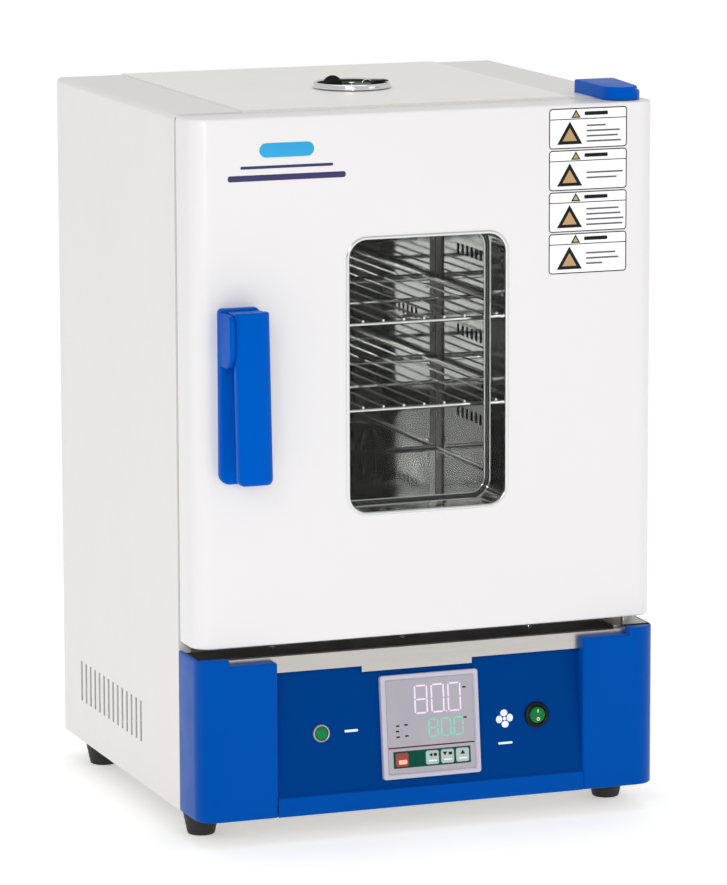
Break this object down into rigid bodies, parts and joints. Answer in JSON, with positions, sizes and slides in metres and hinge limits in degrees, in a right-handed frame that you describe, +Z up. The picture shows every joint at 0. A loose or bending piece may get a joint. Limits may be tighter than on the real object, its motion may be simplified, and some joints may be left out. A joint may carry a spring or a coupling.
{
  "type": "benchtop drying oven",
  "caption": "Bench-top forced-air drying oven: steel cabinet on a blue control base, glazed swing door with pull handle, wire shelves, turning roof vent and panel controls.",
  "frame": {"origin": "middle of the bounding box's underside: on the bench between the rubber feet", "axes": "+X to the oven's right seen from the front, +Y to its rear, +Z up; the door is on the -Y side"},
  "size_m": [0.45, 0.4714, 0.6792],
  "materials": {
    "cabinet_paint": "semi-gloss pearl powder coat",
    "door_paint": "semi-gloss white powder coat",
    "blue_paint": "satin blue powder coat",
    "blue_plastic": "moulded, semi-gloss",
    "mirror_steel": "bright annealed stainless sheet",
    "brushed_steel": "brushed stainless",
    "wire_steel": "electropolished wire",
    "dark_steel": "matt dark coating",
    "heater_alloy": "heat-darkened sheath",
    "cast_alloy": "as made",
    "clear_glass": "clear toughened glass",
    "silicone": "matt silicone",
    "black_rubber": "matt rubber",
    "black_plastic": "fine-textured moulding",
    "wool": "glass-wool batt",
    "meter_plastic": "lavender-grey moulding",
    "meter_face": "printed polycarbonate face",
    "key_red": "soft-gloss key",
    "key_grey": "soft-gloss key",
    "lamp_lens": "green lens in a bright ring",
    "rocker_green": "lit green rocker"
  },
  "bodies": {
    "cabinet": {"side_panel_left": "cabinet_paint", "side_panel_right": "cabinet_paint", "top_panel": "cabinet_paint", "rear_panel": "cabinet_paint", "base_pan": "brushed_steel", "sill_plate": "dark_steel", "front_frame": "brushed_steel", "front_strip": "brushed_steel", "insulation": "wool", "liner": "mirror_steel", "duct_panel_left": "mirror_steel", "duct_panel_right": "mirror_steel", "rear_baffle": "mirror_steel", "fan_cowl": "dark_steel", "floor_plate": "mirror_steel", "shelf_ladder_left": "brushed_steel", "shelf_ladder_right": "brushed_steel", "shelf_bottom": "wire_steel", "shelf_middle": "wire_steel", "shelf_top": "wire_steel", "heater": "heater_alloy", "fan_motor": "cast_alloy", "temperature_probe": "brushed_steel", "vent_ring": "wire_steel", "latch_keeper": "brushed_steel", "hinge_plate_top": "brushed_steel", "hinge_plate_bottom": "brushed_steel", "hinge_cover": "blue_plastic", "fascia_left": "blue_paint", "fascia_right": "blue_paint", "control_panel": "blue_paint", "controller_case": "meter_plastic", "controller_face": "meter_face", "run_lamp": "lamp_lens", "switch_bezel": "black_plastic", "feet_front": "black_rubber", "feet_rear": "black_rubber", "cable_gland": "black_plastic"},
    "door": {"door_shell": "door_paint", "door_core": "wool", "door_inner_panel": "brushed_steel", "window_sleeve": "mirror_steel", "window_frame": "mirror_steel", "glass_outer": "clear_glass", "glass_inner": "clear_glass", "door_gasket": "silicone", "latch_housing": "black_plastic", "handle_base": "blue_plastic", "door_bushing_top": "brushed_steel", "door_bushing_bottom": "brushed_steel"},
    "grip": {"handle_grip": "blue_plastic"},
    "bolt": {"latch_bolt": "brushed_steel"},
    "damper": {"vent_damper": "dark_steel"},
    "impeller": {"fan_impeller": "cast_alloy"},
    "rocker": {"switch_rocker": "rocker_green"},
    "key_set": {"key_set": "key_red"},
    "key_left": {"key_left": "key_grey"},
    "key_down": {"key_down": "key_grey"},
    "key_up": {"key_up": "key_grey"}
  },
  "joints": [
    {"name": "door_hinge", "type": "hinge", "parent": "cabinet", "child": "door", "pos_m": [0.206, -0.16326, 0.4], "axis": [0, 0, 1], "range_deg": [0, 110]},
    {"name": "grip_pull", "type": "hinge", "parent": "door", "child": "grip", "pos_m": [-0.18, -0.20926, 0.482], "axis": [-1, 0, 0], "range_deg": [0, 15], "stiffness_Nm_per_rad": 1},
    {"name": "latch_slide", "type": "slide", "parent": "door", "child": "bolt", "axis": [1, 0, 0], "range_m": [0, 0.005]},
    {"name": "vent_turn", "type": "hinge", "parent": "cabinet", "child": "damper", "pos_m": [0, 0.00874, 0.668], "axis": [0, 0, 1], "range_deg": [0, 180]},
    {"name": "fan_spin", "type": "hinge", "parent": "cabinet", "child": "impeller", "pos_m": [0, 0.16074, 0.275], "axis": [0, 1, 0], "continuous": true},
    {"name": "power_rocker", "type": "hinge", "parent": "cabinet", "child": "rocker", "pos_m": [0.1065, -0.19153, 0.09857], "axis": [1, 0, 0], "range_deg": [-14, 0]},
    {"name": "press_set", "type": "slide", "parent": "cabinet", "child": "key_set", "axis": [0, 0.9938, -0.1114], "range_m": [0, 0.0008], "stiffness_N_per_m": 300},
    {"name": "press_left", "type": "slide", "parent": "cabinet", "child": "key_left", "axis": [0, 0.9938, -0.1114], "range_m": [0, 0.0008], "stiffness_N_per_m": 300},
    {"name": "press_down", "type": "slide", "parent": "cabinet", "child": "key_down", "axis": [0, 0.9938, -0.1114], "range_m": [0, 0.0008], "stiffness_N_per_m": 300},
    {"name": "press_up", "type": "slide", "parent": "cabinet", "child": "key_up", "axis": [0, 0.9938, -0.1114], "range_m": [0, 0.0008], "stiffness_N_per_m": 300}
  ],
  "couplings": [
    {"joint": "latch_slide", "follows": "grip_pull", "m_per_rad": 0.019}
  ]
}
